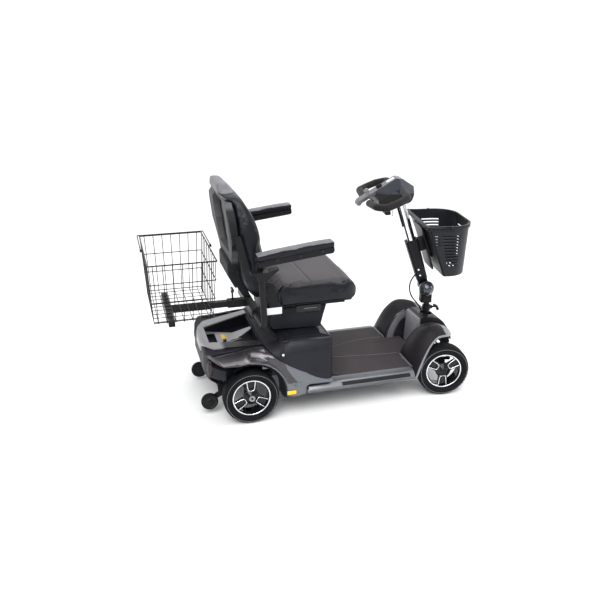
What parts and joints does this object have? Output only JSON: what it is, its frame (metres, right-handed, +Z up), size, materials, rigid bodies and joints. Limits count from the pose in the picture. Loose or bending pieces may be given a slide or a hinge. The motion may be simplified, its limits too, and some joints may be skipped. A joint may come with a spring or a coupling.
{
  "type": "mobility scooter",
  "caption": "Four-wheeled electric scooter with a padded swivel seat, lift-up arms, folding tiller with hand loops, moulded front basket and wire rear basket.",
  "frame": {"origin": "on the ground, in the middle of the scooter's length and width", "axes": "+X forward, +Y to the rider's left, +Z up"},
  "size_m": [1.4142, 0.68, 0.957],
  "materials": {
    "frame_steel": "satin",
    "axle_alloy": "satin",
    "steel_zinc": "satin",
    "tube_chrome": "polished",
    "charcoal_paint": "metallic gloss",
    "black_textured": "textured",
    "black_satin": "satin",
    "silver_plastic": "satin",
    "gloss_black": "gloss",
    "mat_rubber": "matte",
    "tyre": "matte",
    "grip_rubber": "matte",
    "vinyl_top": "matte",
    "vinyl_side": "gloss",
    "amber_lens": "gloss",
    "clear_lens": "gloss",
    "battery_case": "satin",
    "pad_grey": "matte"
  },
  "bodies": {
    "chassis": {"main_frame": "frame_steel", "front_axle_beam": "frame_steel", "transaxle": "axle_alloy", "batteries": "battery_case", "deck_pan": "silver_plastic", "deck_mat": "mat_rubber", "rear_body": "black_textured", "rear_cover": "silver_plastic", "battery_cover": "black_textured", "side_fairings": "charcoal_paint", "lamps": "amber_lens", "front_fenders": "black_textured", "front_shroud": "silver_plastic", "anti_tip_brackets": "frame_steel"},
    "release_lever": {"freewheel_lever": "gloss_black"},
    "track_rod": {"tie_rod": "steel_zinc"},
    "steering": {"steering_stem": "frame_steel", "tiller_cable": "black_satin"},
    "fold_lock": {"lock_pin": "black_satin"},
    "tiller": {"tiller_sleeve": "black_satin", "tiller_tube": "tube_chrome", "basket_bracket": "black_satin", "head_shell": "charcoal_paint", "head_console": "silver_plastic", "hand_grips": "grip_rubber", "head_lenses": "clear_lens"},
    "clamp_knob": {"tiller_knob": "gloss_black"},
    "wigwag": {"throttle_lever": "black_satin"},
    "dial": {"speed_dial": "black_satin"},
    "key": {"ignition_key": "steel_zinc"},
    "horn": {"horn_button": "black_satin"},
    "carry_basket": {"front_basket": "black_satin"},
    "carry_handle": {"front_basket_handle": "steel_zinc"},
    "post": {"seat_post": "steel_zinc"},
    "seat": {"seat_frame": "frame_steel", "storage_box": "black_textured", "seat_cushion": "vinyl_side"},
    "seat_lever": {"swivel_lever": "black_satin"},
    "back": {"backrest_shell": "black_textured", "backrest_cushion": "vinyl_side"},
    "rack": {"basket_beam": "frame_steel", "rear_basket": "frame_steel"},
    "rack_handle": {"rear_basket_handle": "frame_steel"},
    "rack_knob": {"beam_knob": "gloss_black"},
    "rear_wheel_left": {"rear_tyre_left": "tyre", "rear_rim_left": "gloss_black"},
    "front_wheel_left": {"front_tyre_left": "tyre", "front_rim_left": "gloss_black"},
    "stub_left": {"knuckle_left": "frame_steel"},
    "anti_tip_left": {"anti_tip_wheel_left": "pad_grey"},
    "arm_support_left": {"arm_post_left": "frame_steel"},
    "arm_pad_left": {"arm_rest_left": "vinyl_top"},
    "rear_wheel_right": {"rear_tyre_right": "tyre", "rear_rim_right": "gloss_black"},
    "front_wheel_right": {"front_tyre_right": "tyre", "front_rim_right": "gloss_black"},
    "stub_right": {"knuckle_right": "frame_steel"},
    "anti_tip_right": {"anti_tip_wheel_right": "pad_grey"},
    "arm_support_right": {"arm_post_right": "frame_steel"},
    "arm_pad_right": {"arm_rest_right": "vinyl_top"}
  },
  "joints": [
    {"name": "rear_wheel_left_spin", "type": "hinge", "parent": "chassis", "child": "rear_wheel_left", "pos_m": [-0.32612, 0.243, 0.1143], "axis": [0, 1, 0], "continuous": true},
    {"name": "rear_wheel_right_spin", "type": "hinge", "parent": "chassis", "child": "rear_wheel_right", "pos_m": [-0.32612, -0.243, 0.1143], "axis": [0, 1, 0], "continuous": true},
    {"name": "steering_turn", "type": "hinge", "parent": "chassis", "child": "steering", "pos_m": [0.55488, 0, 0.158], "axis": [0, 0, 1], "range_deg": [-22, 38]},
    {"name": "stub_left_turn", "type": "hinge", "parent": "chassis", "child": "stub_left", "pos_m": [0.53688, 0.205, 0.1143], "axis": [0, 0, 1], "range_deg": [-22, 38]},
    {"name": "front_wheel_left_spin", "type": "hinge", "parent": "stub_left", "child": "front_wheel_left", "pos_m": [0.54092, 0.23372, 0.1143], "axis": [0.1392, 0.9903, 0], "continuous": true},
    {"name": "stub_right_turn", "type": "hinge", "parent": "chassis", "child": "stub_right", "pos_m": [0.53688, -0.205, 0.1143], "axis": [0, 0, 1], "range_deg": [-22, 38]},
    {"name": "front_wheel_right_spin", "type": "hinge", "parent": "stub_right", "child": "front_wheel_right", "pos_m": [0.53284, -0.23372, 0.1143], "axis": [0.1392, 0.9903, 0], "continuous": true},
    {"name": "track_rod_swing", "type": "hinge", "parent": "steering", "child": "track_rod", "pos_m": [0.58954, -0.00487, 0.1523], "axis": [0, 0, 1], "range_deg": [-38, 22]},
    {"name": "fold_lock_pull", "type": "slide", "parent": "steering", "child": "fold_lock", "axis": [0.9903, -0.1392, 0], "range_m": [0, 0.008], "stiffness_N_per_m": 900, "springref_m": -0.002},
    {"name": "tiller_fold", "type": "hinge", "parent": "steering", "child": "tiller", "pos_m": [0.53507, 0.00278, 0.42], "axis": [0.1392, 0.9903, 0], "range_deg": [-30, 12], "deforming": ["tiller_cable"]},
    {"name": "clamp_knob_turn", "type": "hinge", "parent": "steering", "child": "clamp_knob", "pos_m": [0.52951, -0.03683, 0.42], "axis": [0.1392, 0.9903, 0], "continuous": true},
    {"name": "wigwag_turn", "type": "hinge", "parent": "tiller", "child": "wigwag", "pos_m": [0.31622, 0.03354, 0.8], "axis": [0, 0, 1], "range_deg": [-15, 15], "stiffness_Nm_per_rad": 1.5},
    {"name": "speed_dial_turn", "type": "hinge", "parent": "tiller", "child": "dial", "pos_m": [0.3126, 0.03405, 0.87646], "axis": [-0.4997, 0.0702, 0.8634], "range_deg": [0, 270]},
    {"name": "key_turn", "type": "hinge", "parent": "tiller", "child": "key", "pos_m": [0.26472, 0.04078, 0.8482], "axis": [-0.4997, 0.0702, 0.8634], "range_deg": [0, 90]},
    {"name": "horn_press", "type": "slide", "parent": "tiller", "child": "horn", "axis": [0, 0, -1], "range_m": [0, 0.003], "stiffness_N_per_m": 300, "springref_m": -0.001},
    {"name": "carry_basket_lift", "type": "slide", "parent": "tiller", "child": "carry_basket", "axis": [0, 0, 1], "range_m": [0, 0.06]},
    {"name": "carry_handle_swing", "type": "hinge", "parent": "carry_basket", "child": "carry_handle", "pos_m": [0.58855, -0.00473, 0.726], "axis": [0.1392, 0.9903, 0], "range_deg": [0, 80]},
    {"name": "release_lever_throw", "type": "hinge", "parent": "chassis", "child": "release_lever", "pos_m": [-0.39312, -0.065, 0.234], "axis": [-0.3746, 0.9272, 0], "range_deg": [0, 18]},
    {"name": "post_height", "type": "slide", "parent": "chassis", "child": "post", "axis": [0, 0, 1], "range_m": [0, 0.05]},
    {"name": "seat_swivel", "type": "hinge", "parent": "post", "child": "seat", "pos_m": [-0.12112, 0, 0.355], "axis": [0, 0, 1], "range_deg": [0, 90]},
    {"name": "seat_lever_pull", "type": "hinge", "parent": "seat", "child": "seat_lever", "pos_m": [-0.17612, -0.11, 0.454], "axis": [0, 0, 1], "range_deg": [0, 16], "stiffness_Nm_per_rad": 2, "springref_deg": -2.86},
    {"name": "back_fold", "type": "hinge", "parent": "seat", "child": "back", "pos_m": [-0.24612, 0, 0.57], "axis": [0, 1, 0], "range_deg": [0, 85]},
    {"name": "arm_support_left_slide", "type": "slide", "parent": "seat", "child": "arm_support_left", "axis": [0, 1, 0], "range_m": [0, 0.035]},
    {"name": "arm_pad_left_lift", "type": "hinge", "parent": "arm_support_left", "child": "arm_pad_left", "pos_m": [-0.28612, 0.312, 0.695], "axis": [0, -1, 0], "range_deg": [0, 85]},
    {"name": "anti_tip_left_spin", "type": "hinge", "parent": "chassis", "child": "anti_tip_left", "pos_m": [-0.48112, 0.153, 0.059], "axis": [0, 1, 0], "continuous": true},
    {"name": "arm_support_right_slide", "type": "slide", "parent": "seat", "child": "arm_support_right", "axis": [0, -1, 0], "range_m": [0, 0.035]},
    {"name": "arm_pad_right_lift", "type": "hinge", "parent": "arm_support_right", "child": "arm_pad_right", "pos_m": [-0.28612, -0.312, 0.695], "axis": [0, -1, 0], "range_deg": [0, 85]},
    {"name": "anti_tip_right_spin", "type": "hinge", "parent": "chassis", "child": "anti_tip_right", "pos_m": [-0.48112, -0.153, 0.059], "axis": [0, 1, 0], "continuous": true},
    {"name": "rack_slide", "type": "slide", "parent": "seat", "child": "rack", "axis": [-1, 0, 0], "range_m": [0, 0.1]},
    {"name": "rack_handle_swing", "type": "hinge", "parent": "rack", "child": "rack_handle", "pos_m": [-0.56612, 0, 0.685], "axis": [1, 0, 0], "range_deg": [0, 180]},
    {"name": "rack_knob_turn", "type": "hinge", "parent": "seat", "child": "rack_knob", "pos_m": [-0.34312, 0, 0.44], "axis": [0, 0, 1], "continuous": true}
  ],
  "couplings": [
    {"joint": "stub_left_turn", "follows": "steering_turn", "ratio": 1},
    {"joint": "stub_right_turn", "follows": "steering_turn", "ratio": 1},
    {"joint": "track_rod_swing", "follows": "steering_turn", "ratio": -1}
  ]
}
